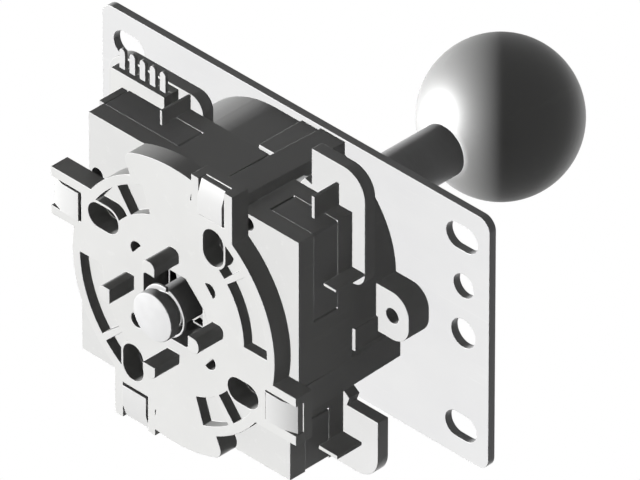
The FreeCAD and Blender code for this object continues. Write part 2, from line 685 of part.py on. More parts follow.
def make_switches():
    make_case()
    make_lever()
    make_plunger()
    for base in ("switch_case", "switch_lever", "switch_plunger"):
        for quarter in range(1, 4):
            name = f"{base}_{quarter + 1}"
            keep(name, quarter_copy(parts[base + "_1"], name, quarter))
    make_terminals()


# Restrictor gate with its octagonal opening
def arc_sector(inner, outer, start, end):
    """Face between two radii and two angles, degrees."""
    pieces = []
    turn = [math.radians(start), math.radians((start + end) / 2), math.radians(end)]
    out = [V(outer * math.cos(a), outer * math.sin(a), 0) for a in turn]
    back = [V(inner * math.cos(a), inner * math.sin(a), 0) for a in turn]
    pieces.append(Part.Arc(*out).toShape())
    pieces.append(Part.makeLine(out[2], back[2]))
    pieces.append(Part.Arc(back[2], back[1], back[0]).toShape())
    pieces.append(Part.makeLine(back[0], out[0]))
    return Part.Face(Part.Wire(pieces))


def gate_pockets(low):
    """The shallow pockets round the gate. Angles are counted as seen from below."""
    deep = size("pocket_deep")
    solids = []
    for number in range(1, 5):
        start = size(f"pocket_{number}_start")
        end = size(f"pocket_{number}_end")
        face = arc_sector(size("pocket_in"), size("pocket_out"), -end, -start)
        solid = face.extrude(V(0, 0, deep))
        solid.translate(V(0, 0, low))
        solids += [solid, solid.copy()]
        solids[-1].rotate(V(0, 0, 0), V(0, 0, 1), 180)
    return solids


def make_gate():
    body = new_body("gate_blank")
    low = depth("gate_depth")
    high = depth("frame_depth")
    prism(body, "disc", [("0", "0", "gate_radius")], low, high)
    tab = prism(body, "tab", [box_points("tab_low", "-tab_out", "tab_high", "-tab_in")], low, high)
    around(body, "tabs", [tab])
    post = prism(body, "post", [box_points("post_in", "-post_half", "post_out", "post_half")],
                 depth("post_depth"), low)
    around(body, "posts", [post])
    rounded(body, "post_round", upright_edges(body, turned_places([
        (size("post_out"), size("post_half")), (size("post_out"), -size("post_half"))])),
        "post_round")
    edge = "opening_vertex"
    flat = "opening_flat"
    octagon = [(f"-{edge}", f"-{flat}"), (edge, f"-{flat}"), (flat, f"-{edge}"), (flat, edge),
               (edge, flat), (f"-{edge}", flat), (f"-{flat}", edge), (f"-{flat}", f"-{edge}")]
    prism(body, "octagon", [octagon], low, high, cut=True)
    window = prism(body, "window", [box_points("window_low", "-window_out", "window_high",
                                               "-window_in")], low, high, cut=True)
    around(body, "windows", [window])
    rim = prism(body, "rim", [box_points("window_low", "-(tab_out + 1)", "window_high",
                                         "-(window_out - rim_lap)")], low, depth("rim_depth"),
                cut=True)
    around(body, "rims", [rim])

    # Lobes, each ending inside a tab and rounded at its free corner
    base = worth(low)
    thick = size("gate_thick")
    solid = body.Shape
    for turn in (0, 180):
        start = -size("lobe_angle")
        end = -math.degrees(math.acos((size("tab_low") + size("rim_lap")) / size("lobe_radius")))
        lobe = arc_sector(size("gate_radius") - size("lobe_lap"), size("lobe_radius"), start, end)
        lobe = lobe.extrude(V(0, 0, thick))
        lobe.translate(V(0, 0, base))
        angle = math.radians(start)
        free = V(size("lobe_radius") * math.cos(angle), size("lobe_radius") * math.sin(angle), base)
        corner = [edge for edge in lobe.Edges if all(
            math.hypot(vertex.X - free.x, vertex.Y - free.y) < 0.01 for vertex in edge.Vertexes)]
        lobe = lobe.makeFillet(size("lobe_round"), corner)
        lobe.rotate(V(0, 0, 0), V(0, 0, 1), turn)
        solid = solid.fuse(lobe)
    solid = solid.removeSplitter()

    # Pockets, stadium holes and D holes
    holes = []
    rims = []
    for quarter in range(4):
        for grow, store in ((0.0, holes), (size("stadium_rim"), rims)):
            radius = size("stadium_wide") / 2 + grow
            reach = (size("stadium_long") - size("stadium_wide")) / 2
            middle = V(size("stadium_x"), -size("stadium_y"), base)
            ends = [Part.makeCylinder(radius, thick, middle + V(0, side * reach, 0))
                    for side in (-1, 1)]
            bar = Part.makeBox(2 * radius, 2 * reach, thick, middle - V(radius, reach, 0))
            stadium = ends[0].fuse([ends[1], bar])
            stadium.rotate(V(0, 0, 0), V(0, 0, 1), 90 * quarter)
            store.append(stadium)
        circle = Part.makeCylinder(size("dhole_radius"), thick, V(size("dhole_at"), 0, base))
        radius = size("dhole_radius")
        half = Part.makeBox(2 * radius, 4 * radius, thick,
                            V(size("dhole_at"), -2 * radius, base))
        hole = circle.common(half)
        turn = (1, -1, 1, -1)[quarter] * size("dhole_angle") + (0, 0, 180, 180)[quarter]
        hole.rotate(V(0, 0, 0), V(0, 0, 1), turn)
        holes.append(hole)
    rim_solid = rims[0].fuse(rims[1:])
    pockets = [pocket.cut(rim_solid) for pocket in gate_pockets(base)]
    solid = solid.cut(pockets).cut(holes)
    gate = doc.addObject("Part::Feature", "restrictor_gate")
    gate.Shape = solid.removeSplitter()
    doc.recompute()
    keep("restrictor_gate", gate)


# Shaft, sleeve, ball and insert
def make_shaft():
    body = new_body("shaft")
    turned(body, "shaft_turned", [
        ("0", depth("end_depth")), ("end_radius", depth("end_depth")),
        ("end_radius", depth("end_step")), ("groove_radius", depth("end_step")),
        ("groove_radius", depth("groove_top")), ("neck_radius", depth("groove_top")),
        ("neck_radius", depth("shoulder_depth")), ("shaft_radius", depth("shoulder_depth")),
        ("shaft_radius", "ball_base"), ("thread_radius", "ball_base"),
        ("thread_radius", "ball_base + thread_end"), ("0", "ball_base + thread_end")])
    keep("shaft", body)

    sleeve = new_body("shaft_sleeve")
    seat = depth("pivot_depth - pivot_up")
    turned(sleeve, "sleeve", [("shaft_radius + shaft_gap", seat), ("sleeve_radius", seat),
                              ("sleeve_radius", "ball_base"),
                              ("shaft_radius + shaft_gap", "ball_base")])
    keep("shaft_sleeve", sleeve)

    ball = primitive("Part::Sphere", "ball_sphere", Radius="ball_radius", z="ball_centre")
    below = primitive("Part::Box", "ball_below", Length="ball_radius * 2", Width="ball_radius * 2",
                      Height="ball_radius", x="-ball_radius", y="-ball_radius",
                      z="ball_base - ball_radius")
    pocket = primitive("Part::Cylinder", "ball_pocket", Radius="insert_radius + shaft_gap",
                       Height="insert_long + shaft_gap", z="ball_base")
    tools = doc.addObject("Part::MultiFuse", "ball_tools")
    tools.Shapes = [below, pocket]
    knob = doc.addObject("Part::Cut", "ball_top")
    knob.Base = ball
    knob.Tool = tools
    doc.recompute()
    keep("ball_top", knob)

    insert = new_body("ball_insert")
    turned(insert, "insert", [
        ("thread_radius + shaft_gap", "ball_base"), ("insert_radius", "ball_base"),
        ("insert_radius", "ball_base + insert_long"),
        ("0", "ball_base + insert_long"), ("0", "ball_base + thread_end + insert_room"),
        ("thread_radius + shaft_gap", "ball_base + thread_end + insert_room")])
    keep("ball_insert", insert)


# Pivot that turns in the housing's socket
def make_pivot():
    ball = primitive("Part::Sphere", "pivot_ball", Radius="pivot_radius", z=depth("pivot_depth"))
    slab = primitive("Part::Cylinder", "pivot_slab", Radius="pivot_radius + 1",
                     Height="pivot_up + pivot_down", z=depth("pivot_depth + pivot_down"))
    zone = doc.addObject("Part::Common", "pivot_zone")
    zone.Base = ball
    zone.Tool = slab
    bore = primitive("Part::Cylinder", "pivot_bore", Radius="shaft_radius + shaft_gap",
                     Height="pivot_radius * 2 + 2", z=depth("pivot_depth + pivot_radius + 1"))
    pivot = doc.addObject("Part::Cut", "pivot")
    pivot.Base = zone
    pivot.Tool = bore
    doc.recompute()
    keep("pivot", pivot)


# Actuator wheel with a crowned rim and a groove for the spring's foot
def make_actuator():
    ball = primitive("Part::Sphere", "wheel_ball", Radius="wheel_radius", z=depth("wheel_depth"))
    slab = primitive("Part::Cylinder", "wheel_slab", Radius="wheel_radius + 1",
                     Height="wheel_half * 2", z=depth("wheel_depth + wheel_half"))
    zone = doc.addObject("Part::Common", "wheel_zone")
    zone.Base = ball
    zone.Tool = slab
    bore = primitive("Part::Cylinder", "wheel_bore", Radius="shaft_radius + shaft_gap",
                     Height="wheel_half * 2 + 2", z=depth("wheel_depth + wheel_half + 1"))
    room = "spring_wire / 2 + spring_room"
    outer = primitive("Part::Cylinder", "wheel_groove_outer", Radius=f"spring_radius + {room}",
                      Height="spring_foot", z=depth("spring_foot"))
    inner = primitive("Part::Cylinder", "wheel_groove_inner", Radius=f"spring_radius - ({room})",
                      Height="spring_foot", z=depth("spring_foot"))
    groove = doc.addObject("Part::Cut", "wheel_groove")
    groove.Base = outer
    groove.Tool = inner
    tools = doc.addObject("Part::MultiFuse", "wheel_tools")
    tools.Shapes = [bore, groove]
    wheel = doc.addObject("Part::Cut", "actuator")
    wheel.Base = zone
    wheel.Tool = tools
    doc.recompute()
    keep("actuator", wheel)


def make_spring():
    seat = new_body("spring_seat")
    turned(seat, "washer", [
        ("seat_inner", depth("housing_depth")), ("seat_outer", depth("housing_depth")),
        ("seat_outer", depth("housing_depth - seat_thick")),
        ("seat_inner", depth("housing_depth - seat_thick"))])
    keep("spring_seat", seat)

    wire = size("spring_wire")
    foot = worth(depth("spring_foot")) + wire / 2
    height = size("spring_tall") - wire
    path = Part.makeHelix(size("spring_pitch"), height, size("spring_radius"))
    path = Part.Wire(path)
    start = V(size("spring_radius"), 0, 0)
    section = Part.Wire(Part.makeCircle(wire / 2, start, V(0, 1, 0)))
    coil = path.makePipeShell([section], True, True)
    coil.translate(V(0, 0, foot))
    spring = doc.addObject("Part::Feature", "centering_spring")
    spring.Shape = coil
    keep("centering_spring", spring)


def make_ring():
    outer = primitive("Part::Cylinder", "ring_outer_disc", Radius="ring_outer",
                      Height="ring_thick", z=depth("ring_depth"))
    inner = primitive("Part::Cylinder", "ring_inner_disc", Radius="ring_inner",
                      Height="ring_thick", x="ring_shift_x", y="ring_shift_y",
                      z=depth("ring_depth"))
    slot = primitive("Part::Box", "ring_slot_box", Length="ring_outer + ring_slot",
                     Width="ring_slot", Height="ring_thick")
    turn = math.radians(size("ring_angle"))
    half = size("ring_slot") / 2
    slot.Placement = FreeCAD.Placement(V(half * math.sin(turn), -half * math.cos(turn),
                                         worth(depth("ring_depth"))),
                                       FreeCAD.Rotation(V(0, 0, 1), size("ring_angle")))
    tools = doc.addObject("Part::MultiFuse", "ring_tools")
    tools.Shapes = [inner, slot]
    ring = doc.addObject("Part::Cut", "retaining_ring")
    ring.Base = outer
    ring.Tool = tools
    doc.recompute()
    keep("retaining_ring", ring)


make_plate()
make_plate_screws()
make_housing()
make_frame()
make_board()
make_header()
make_pins()
make_switches()
make_gate()
make_shaft()
make_pivot()
make_actuator()
make_spring()
make_ring()
doc.recompute()

# Every object and every sub-part is checked before anything is written
for item in doc.Objects:
    if "Invalid" in item.State or "Error" in item.State:
        raise RuntimeError(f"{item.Name} did not rebuild")
for name, item in parts.items():
    if item.Shape.isNull() or not item.Shape.isValid():
        raise RuntimeError(f"{name} has no valid shape")

os.makedirs("parts", exist_ok=True)
for name, item in parts.items():
    item.Shape.exportStep(f"parts/{name}.step")
    print(name, len(item.Shape.Solids), round(item.Shape.Volume, 1))
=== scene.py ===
import math

import bmesh
import bpy
import numpy as np
from mathutils import Matrix, Vector


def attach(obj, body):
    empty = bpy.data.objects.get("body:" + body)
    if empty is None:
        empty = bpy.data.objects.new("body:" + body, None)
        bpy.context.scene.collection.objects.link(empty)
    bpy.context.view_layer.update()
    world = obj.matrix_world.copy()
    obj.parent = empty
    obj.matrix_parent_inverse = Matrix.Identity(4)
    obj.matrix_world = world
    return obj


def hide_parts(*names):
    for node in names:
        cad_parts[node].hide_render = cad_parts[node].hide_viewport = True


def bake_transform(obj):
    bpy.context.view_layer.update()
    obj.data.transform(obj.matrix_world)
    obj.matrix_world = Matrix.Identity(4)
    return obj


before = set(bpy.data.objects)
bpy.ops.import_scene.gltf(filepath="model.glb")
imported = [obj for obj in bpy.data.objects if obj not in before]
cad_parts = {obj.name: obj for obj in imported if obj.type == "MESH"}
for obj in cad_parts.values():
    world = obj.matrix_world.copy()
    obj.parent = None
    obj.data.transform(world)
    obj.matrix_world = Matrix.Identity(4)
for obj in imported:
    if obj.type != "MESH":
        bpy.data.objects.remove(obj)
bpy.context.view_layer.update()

# Arcade joystick lever. Lengths are written in millimetres and put into the meshes in metres.
mm = 0.001
tiny = 1e-7          # lengths below this count as none
cornerShare = 0.4    # a rounded corner takes at most this share of the runs beside it


# Angles of one full turn in equal steps, without the last one that meets the first
def fullTurn(count):
    return np.linspace(0.0, 2 * np.pi, count, endpoint=False)


# Corner rounding: each corner becomes a quadratic curve from a point short of it on the run
# before, through its pull, to a point short of it on the run after
def softCorners(points, reach, closed=True, steps=4):
    points = np.asarray(points, float)
    before = np.roll(points, 1, axis=0) - points
    after = np.roll(points, -1, axis=0) - points
    lengthBefore = np.maximum(np.linalg.norm(before, axis=1), tiny)
    lengthAfter = np.maximum(np.linalg.norm(after, axis=1), tiny)
    cutBefore = np.minimum(reach, cornerShare * lengthBefore)
    cutAfter = np.minimum(reach, cornerShare * lengthAfter)
    if not closed:
        cutBefore[[0, -1]] = 0.0
        cutAfter[[0, -1]] = 0.0
    start = points + before * (cutBefore / lengthBefore)[:, None]
    end = points + after * (cutAfter / lengthAfter)[:, None]
    t = np.linspace(0.0, 1.0, steps)[None, :, None]
    curve = ((1 - t) ** 2 * start[:, None] + 2 * t * (1 - t) * points[:, None]
             + t ** 2 * end[:, None])
    curve = curve.reshape(-1, 2)
    keep = np.ones(len(curve), bool)
    keep[1:] = np.linalg.norm(np.diff(curve, axis=0), axis=1) > tiny
    return curve[keep]


# A mesh from whole arrays; its faces are turned round if the volume that they enclose is negative
def meshFrom(name, points, quads, tris):
    points = points * mm
    fans = np.concatenate([quads[:, [0, 1, 2]], quads[:, [0, 2, 3]], tris])
    a, b, c = points[fans[:, 0]], points[fans[:, 1]], points[fans[:, 2]]
    if np.einsum("ij,ij->i", a, np.cross(b, c)).sum() < 0:
        quads = quads[:, ::-1]
        tris = tris[:, ::-1]
    mesh = bpy.data.meshes.new(name)
    mesh.vertices.add(len(points))
    mesh.vertices.foreach_set("co", points.ravel())
    corners = np.concatenate([quads.ravel(), tris.ravel()])
    starts = np.concatenate([np.arange(len(quads)) * 4, len(quads) * 4 + np.arange(len(tris)) * 3])
    mesh.loops.add(len(corners))
    mesh.loops.foreach_set("vertex_index", corners.astype(np.int32))
    mesh.polygons.add(len(starts))
    mesh.polygons.foreach_set("loop_start", starts.astype(np.int32))
    mesh.update(calc_edges=True)
    mesh.validate()
    obj = bpy.data.objects.new(name, mesh)
    bpy.context.scene.collection.objects.link(obj)
    return obj


# Grid of rows by columns. Columns always close; rows close when the profile is a loop. A row
# whose points all fall on the axis is one pole point with a fan of triangles
def gridMesh(name, grid, rowsClose=False):
    rows, columns = grid.shape[:2]
    index = np.arange(rows * columns).reshape(rows, columns)
    right = np.roll(index, -1, axis=1)
    lower = np.roll(index, -1, axis=0)
    lowerRight = np.roll(right, -1, axis=0)
    last = rows if rowsClose else rows - 1
    quads = np.stack([index, right, lowerRight, lower], axis=-1)[:last]
    flat = np.ptp(grid, axis=1).max(axis=1) < tiny
    tris = []
    if not rowsClose and flat[0]:
        tris.append(np.stack([np.full(columns, index[0, 0]), lowerRight[0], lower[0]], axis=-1))
        quads = quads[1:]
    if not rowsClose and flat[-1]:
        tris.append(np.stack([np.full(columns, index[-1, 0]), index[-2], right[-2]], axis=-1))
        quads = quads[:-1]
    tris = np.concatenate(tris) if tris else np.zeros((0, 3), int)
    used = np.unique(np.concatenate([quads.ravel(), tris.ravel()]))
    place = np.full(rows * columns, -1)
    place[used] = np.arange(len(used))
    points = grid.reshape(-1, 3)[used]
    return meshFrom(name, points, place[quads.reshape(-1, 4)], place[tris])


# Turned piece: the point at (row, angle) is (radius cos, radius sin, height) of that profile row
def turnedGrid(profile, segments):
    angle = fullTurn(segments)
    radius = profile[:, 0][:, None]
    height = np.repeat(profile[:, 1][:, None], segments, axis=1)
    return np.stack([radius * np.cos(angle), radius * np.sin(angle), height], axis=-1)


# Tube along a path: each row is a circle in the plane of the sideways direction at that path
# point and the Z axis
def tubeGrid(path, sideways, radius, segments):
    angle = fullTurn(segments)[None, :, None]
    ring = np.cos(angle) * sideways[:, None] + np.sin(angle) * np.array((0.0, 0.0, 1.0))
    return path[:, None] + radius * ring


# A strip's or tube's open ends are closed by one more row drawn in to the end row's middle
def cappedGrid(grid):
    first = np.repeat(grid[:1].mean(axis=1, keepdims=True), grid.shape[1], axis=1)
    last = np.repeat(grid[-1:].mean(axis=1, keepdims=True), grid.shape[1], axis=1)
    return np.concatenate([first, grid, last])


# Smooth shading that breaks at edges steeper than the angle, in degrees
def smoothShade(obj, angle):
    mesh = obj.data
    mesh.polygons.foreach_set("use_smooth", np.ones(len(mesh.polygons), bool))
    mesh.set_sharp_from_angle(angle=math.radians(angle))


# Finishes, the body that the piece rides on, the nodes that it stands for, and its slot, which is
# not used
def dress(obj, body, nodes, slotName, *finishes):
    obj.data.materials.clear()
    for item in finishes:
        obj.data.materials.append(item)
    if body:
        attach(obj, body)
    if nodes:
        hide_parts(*nodes)


def addNode(tree, kind, **values):
    node = tree.nodes.new(kind)
    for key, value in values.items():
        setattr(node, key, value)
    return node


# A node whose first inputs come from these outputs, in order
def fedNode(tree, kind, sources, **values):
    node = addNode(tree, kind, **values)
    for source, item in zip(sources, node.inputs):
        tree.links.new(source, item)
    return node


# Noise read on Object coordinates, in features per millimetre along each axis
def noiseField(tree, place, stretch, detail, rough):
    mapping = addNode(tree, "ShaderNodeMapping")
    mapping.inputs["Scale"].default_value = [value / mm for value in stretch]
    tree.links.new(place, mapping.inputs["Vector"])
    noise = addNode(tree, "ShaderNodeTexNoise")
    noise.inputs["Scale"].default_value = 1.0
    noise.inputs["Detail"].default_value = detail
    noise.inputs["Roughness"].default_value = rough
    tree.links.new(mapping.outputs["Vector"], noise.inputs["Vector"])
    return noise.outputs["Fac"]


# The source's span is stretched to run from low to high
def ranged(tree, source, low, high, span):
    node = addNode(tree, "ShaderNodeMapRange")
    node.inputs["From Min"].default_value, node.inputs["From Max"].default_value = span
    node.inputs["To Min"].default_value = low
    node.inputs["To Max"].default_value = high
    tree.links.new(source, node.inputs["Value"])
    return node.outputs["Result"]


# Colour between the first and the second by the share; each is a colour or an output
def mixed(tree, share, first, second):
    node = addNode(tree, "ShaderNodeMix", data_type="RGBA")
    colours = [item for item in node.inputs if item.type == "RGBA"]
    shares = [item for item in node.inputs if item.type == "VALUE"]
    tree.links.new(share, shares[0])
    for item, value in zip(colours, (first, second)):
        if isinstance(value, tuple):
            item.default_value = (*value, 1.0)
        else:
            tree.links.new(value, item)
    return [item for item in node.outputs if item.type == "RGBA"][0]


# Detail and roughness of the three noises; most of a noise lies in the wide span, and only its
# peaks pass the marks' span
cloudNoise = (3.0, 0.55)
grainNoise = (2.0, 0.6)
markNoise = (4.0, 0.65)
wideSpan = (0.3, 0.7)
markSpan = (0.60, 0.70)


# One finish: cloudy colour variation between the colour and its shade, fine grain in roughness
# and bump, and thin rubbed marks that are a little lighter than the rest
def finish(name, look):
    material = bpy.data.materials.new(name)
    material.use_nodes = True
    tree = material.node_tree
    tree.nodes.clear()
    shader = addNode(tree, "ShaderNodeBsdfPrincipled")
    fedNode(tree, "ShaderNodeOutputMaterial", [shader.outputs["BSDF"]])
    place = addNode(tree, "ShaderNodeTexCoord").outputs["Object"]
    cloud = noiseField(tree, place, look["cloud"], *cloudNoise)
    grain = noiseField(tree, place, look["grain"], *grainNoise)
    marks = noiseField(tree, place, look["marks"], *markNoise)
    colour = mixed(tree, ranged(tree, cloud, 0.0, 1.0, wideSpan), look["colour"], look["shade"])
    rubbed = ranged(tree, marks, 0.0, look["rubbed"], markSpan)
    colour = mixed(tree, rubbed, colour, look["rub"])
    tree.links.new(colour, shader.inputs["Base Color"])
    tree.links.new(ranged(tree, grain, *look["rough"], wideSpan), shader.inputs["Roughness"])
    bump = addNode(tree, "ShaderNodeBump")
    bump.inputs["Strength"].default_value = look["bump"]
    bump.inputs["Distance"].default_value = look["deep"] * mm
    tree.links.new(grain, bump.inputs["Height"])
    tree.links.new(bump.outputs["Normal"], shader.inputs["Normal"])
    shader.inputs["Metallic"].default_value = look["metallic"]
    shader.inputs["Specular IOR Level"].default_value = look["gloss"]
    material.diffuse_color = (*look["colour"], 1.0)
    return material


mouldedGrey = {
    "colour": (0.68, 0.68, 0.67), "shade": (0.64, 0.64, 0.63), "rub": (0.74, 0.74, 0.73),
    "cloud": (0.06, 0.06, 0.06), "grain": (5.0, 5.0, 5.0), "marks": (0.5, 0.5, 0.08),
    "rubbed": 0.5, "rough": (0.42, 0.56), "bump": 0.22, "deep": 0.02,
    "metallic": 0.0, "gloss": 0.15,
}
# Edges of a moulding are a little lighter and smoother, where hands and the tool rub them
mouldedEdge = {**mouldedGrey, "colour": (0.77, 0.77, 0.76), "shade": (0.73, 0.73, 0.72),
               "rough": (0.34, 0.46)}
housingGrey = {**mouldedGrey, "colour": (0.71, 0.71, 0.705), "shade": (0.67, 0.67, 0.665)}
frameGrey = {**mouldedGrey, "colour": (0.69, 0.69, 0.68), "shade": (0.65, 0.65, 0.645)}
gateGrey = {**mouldedGrey, "colour": (0.715, 0.715, 0.705), "shade": (0.675, 0.675, 0.665)}
switchGrey = {**mouldedGrey, "colour": (0.68, 0.68, 0.68), "shade": (0.63, 0.63, 0.63)}
headerGrey = {**mouldedGrey, "colour": (0.72, 0.72, 0.705), "shade": (0.68, 0.68, 0.665)}
plungerWhite = {**mouldedGrey, "colour": (0.78, 0.77, 0.74), "shade": (0.73, 0.72, 0.69)}
pivotWhite = {**mouldedGrey, "colour": (0.80, 0.80, 0.78), "shade": (0.76, 0.76, 0.74),
              "rough": (0.30, 0.40)}
wheelGrey = {**mouldedGrey, "colour": (0.55, 0.55, 0.55), "shade": (0.50, 0.50, 0.50),
             "rough": (0.34, 0.46)}

ballGrey = {
    "colour": (0.35, 0.35, 0.347), "shade": (0.33, 0.33, 0.327), "rub": (0.38, 0.38, 0.377),
    "cloud": (0.05, 0.05, 0.05), "grain": (2.2, 2.2, 2.2), "marks": (0.30, 0.30, 0.05),
    "rubbed": 0.35, "rough": (0.50, 0.55), "bump": 0.05, "deep": 0.02,
    "metallic": 0.0, "gloss": 0.25,
}
zincPlate = {
    "colour": (0.72, 0.72, 0.72), "shade": (0.69, 0.69, 0.695), "rub": (0.76, 0.76, 0.76),
    "cloud": (0.045, 0.09, 0.045), "grain": (0.5, 9.0, 9.0), "marks": (0.05, 1.2, 1.2),
    "rubbed": 0.5, "rough": (0.42, 0.52), "bump": 0.16, "deep": 0.015,
    "metallic": 0.01, "gloss": 0.15,
}
zincEdge = {**zincPlate, "colour": (0.78, 0.78, 0.78), "shade": (0.70, 0.70, 0.70),
            "rough": (0.28, 0.38)}
screwZinc = {**zincPlate, "grain": (6.0, 6.0, 6.0), "metallic": 0.8}
turnedSteel = {
    "colour": (0.72, 0.72, 0.72), "shade": (0.67, 0.67, 0.675), "rub": (0.77, 0.77, 0.77),
    "cloud": (0.1, 0.1, 0.3), "grain": (0.6, 0.6, 14.0), "marks": (0.12, 0.12, 2.4),
    "rubbed": 0.5, "rough": (0.38, 0.48), "bump": 0.2, "deep": 0.012,
    "metallic": 0.03, "gloss": 0.15,
}
sleeveSteel = {**turnedSteel, "colour": (0.60, 0.60, 0.60), "metallic": 0.01, "rough": (0.40, 0.5)}
ringSteel = {**turnedSteel, "colour": (0.62, 0.62, 0.62), "grain": (4.0, 4.0, 4.0),
             "rough": (0.34, 0.46)}
seatSteel = {**turnedSteel, "metallic": 0.9}
springSteel = {**turnedSteel, "colour": (0.62, 0.62, 0.60), "grain": (8.0, 8.0, 1.0),
               "metallic": 0.9}
leverSteel = {**zincPlate, "colour": (0.74, 0.73, 0.70), "metallic": 0.9, "rough": (0.24, 0.36)}
tinnedPin = {**zincPlate, "colour": (0.76, 0.76, 0.74), "grain": (6.0, 2.0, 6.0)}
terminalBrass = {**zincPlate, "colour": (0.72, 0.66, 0.50), "shade": (0.64, 0.56, 0.40),
                 "rub": (0.80, 0.74, 0.58), "metallic": 0.9}
insertBrass = {**turnedSteel, "colour": (0.72, 0.56, 0.28), "shade": (0.60, 0.44, 0.20),
               "rub": (0.82, 0.68, 0.40), "metallic": 0.95}
boardGrey = {
    "colour": (0.70, 0.71, 0.68), "shade": (0.66, 0.67, 0.64), "rub": (0.74, 0.75, 0.72),
    "cloud": (0.08, 0.08, 0.08), "grain": (3.0, 3.0, 6.0), "marks": (0.4, 0.4, 0.4),
    "rubbed": 0.3, "rough": (0.40, 0.52), "bump": 0.12, "deep": 0.02,
    "metallic": 0.0, "gloss": 0.15,
}
finishes = {name: finish(name, look) for name, look in (
    ("housingGrey", housingGrey), ("frameGrey", frameGrey), ("gateGrey", gateGrey),
    ("mouldedEdge", mouldedEdge), ("switchGrey", switchGrey), ("headerGrey", headerGrey),
    ("plungerWhite", plungerWhite), ("pivotWhite", pivotWhite), ("wheelGrey", wheelGrey),
    ("ballGrey", ballGrey), ("zincPlate", zincPlate), ("zincEdge", zincEdge),
    ("screwZinc", screwZinc), ("turnedSteel", turnedSteel), ("sleeveSteel", sleeveSteel),
    ("ringSteel", ringSteel), ("seatSteel", seatSteel), ("springSteel", springSteel),
    ("leverSteel", leverSteel), ("tinnedPin", tinnedPin), ("terminalBrass", terminalBrass),
    ("insertBrass", insertBrass), ("boardGrey", boardGrey))}
print("finishes ready")


# Edges steeper than the first angle show as creases, and those steeper than the second are bevelled
creaseAngle = 17.0
bevelAngle = 40.0
bevelSteps = 2
mergeDistance = 0.002  # corners of the solid's triangles closer than this are one
flatAngle = 1.0        # faces that meet at less than this are one face
levelSlack = 0.01      # points this near a piece's lowest level belong to it


# The solid's own mesh as a copy: its loose triangles are merged and its flat faces joined
def mergedCopy(node):
    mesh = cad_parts[node].data.copy()
    obj = bpy.data.objects.new(node + "_dressed", mesh)
    bpy.context.scene.collection.objects.link(obj)
    work = bmesh.new()
    work.from_mesh(mesh)
    bmesh.ops.remove_doubles(work, verts=work.verts, dist=mergeDistance * mm)
    bmesh.ops.dissolve_limit(work, angle_limit=math.radians(flatAngle), verts=work.verts,
                             edges=work.edges, use_dissolve_boundaries=False)
    work.to_mesh(mesh)
    work.free()
    return obj


# Cutter for four wells, a quarter turn apart: each outline point is the rim of a circle, moved
# out along the oval's long side by a half of its straight run
def wellCutter(shape):
    count = shape["points"]
    angle = fullTurn(count) + np.pi / count
    radius = shape["wide"] / 2
    run = (shape["long"] - shape["wide"]) / 2
    rim = np.stack([shape["x"] + radius * np.cos(angle),
                    shape["y"] + radius * np.sin(angle) + run * np.sign(np.sin(angle))], axis=1)
    work = bmesh.new()
    cutters = []
    for turn in np.arange(4) * np.pi / 2:
        outline = rim @ np.array([[math.cos(turn), math.sin(turn)],
                                  [-math.sin(turn), math.cos(turn)]])
        sides = np.stack([np.column_stack([outline, np.full(count, shape[level])])
                          for level in ("low", "high")])
        cutters.append(gridMesh("wells", cappedGrid(sides)))
        work.from_mesh(cutters[-1].data)
    work.to_mesh(cutters[0].data)
    work.free()
    for cutter in cutters[1:]:
        bpy.data.objects.remove(cutter)
    return cutters[0]


# The cutter is taken out of the copy at once, and then removed itself
def carve(obj, cutter):
    cut = obj.modifiers.new("wells", "BOOLEAN")
    cut.operation = "DIFFERENCE"
    cut.object = cutter
    graph = bpy.context.evaluated_depsgraph_get()
    carved = bpy.data.meshes.new_from_object(obj.evaluated_get(graph))
    obj.modifiers.remove(cut)
    obj.data = carved
    bpy.data.objects.remove(cutter)


# Small changes of length, in millimetres. Taller stretches all heights about the middle one,
# shorter lifts the lowest level, and wider moves the points past each limit outwards
def stretch(mesh, piece):
    points = np.empty(3 * len(mesh.vertices))
    mesh.vertices.foreach_get("co", points)
    points = points.reshape(-1, 3)
    middle = (points[:, 2].max() + points[:, 2].min()) / 2
    taller = 1 + piece.get("taller", 0.0) * mm / np.ptp(points[:, 2])
    points[:, 2] = middle + (points[:, 2] - middle) * taller
    lowest = points[:, 2] < points[:, 2].min() + levelSlack * mm
    points[lowest, 2] += piece.get("shorter", 0.0) * mm
    for limit, outward in piece.get("wider", {}).items():
        far = np.abs(points[:, :2]) > limit * mm
        points[:, :2] += np.where(far, np.sign(points[:, :2]) * outward * mm, 0.0)
    mesh.vertices.foreach_set("co", points.ravel())


# Moulded, sheet and stamped pieces: the merged copy with its edges softened by a small bevel that
# has the worn edge's finish. Curved walls are shaded smooth up to the crease angle
def softened(node, body, piece):
    obj = mergedCopy(node)
    if "wells" in piece:
        carve(obj, wellCutter(piece["wells"]))
    mesh = obj.data
    stretch(mesh, piece)
    mesh.polygons.foreach_set("material_index", np.zeros(len(mesh.polygons), np.int32))
    creased = np.zeros((2, len(mesh.edges)), bool)
    for row, angle in zip(creased, (creaseAngle, bevelAngle)):
        smoothShade(obj, angle)
        mesh.edges.foreach_get("use_edge_sharp", row)
    mesh.edges.foreach_set("use_edge_sharp", creased[0] & ~creased[1])
    bevel = obj.modifiers.new("softEdges", "BEVEL")
    bevel.width = piece["bevel"] * mm
    bevel.segments = bevelSteps
    bevel.limit_method = "ANGLE"
    bevel.angle_limit = math.radians(bevelAngle)
    bevel.use_clamp_overlap = False
    bevel.miter_outer = "MITER_ARC"
    bevel.material = 1
    flat = obj.modifiers.new("flatFaces", "WEIGHTED_NORMAL")
    flat.weight = 100  # the largest faces decide the shading
    flat.keep_sharp = True
    dress(obj, body, [node], piece["slot"], finishes[piece["face"]], finishes[piece["edge"]])


housing = {"slot": "housing_plastic", "face": "housingGrey", "edge": "mouldedEdge", "bevel": 0.1}
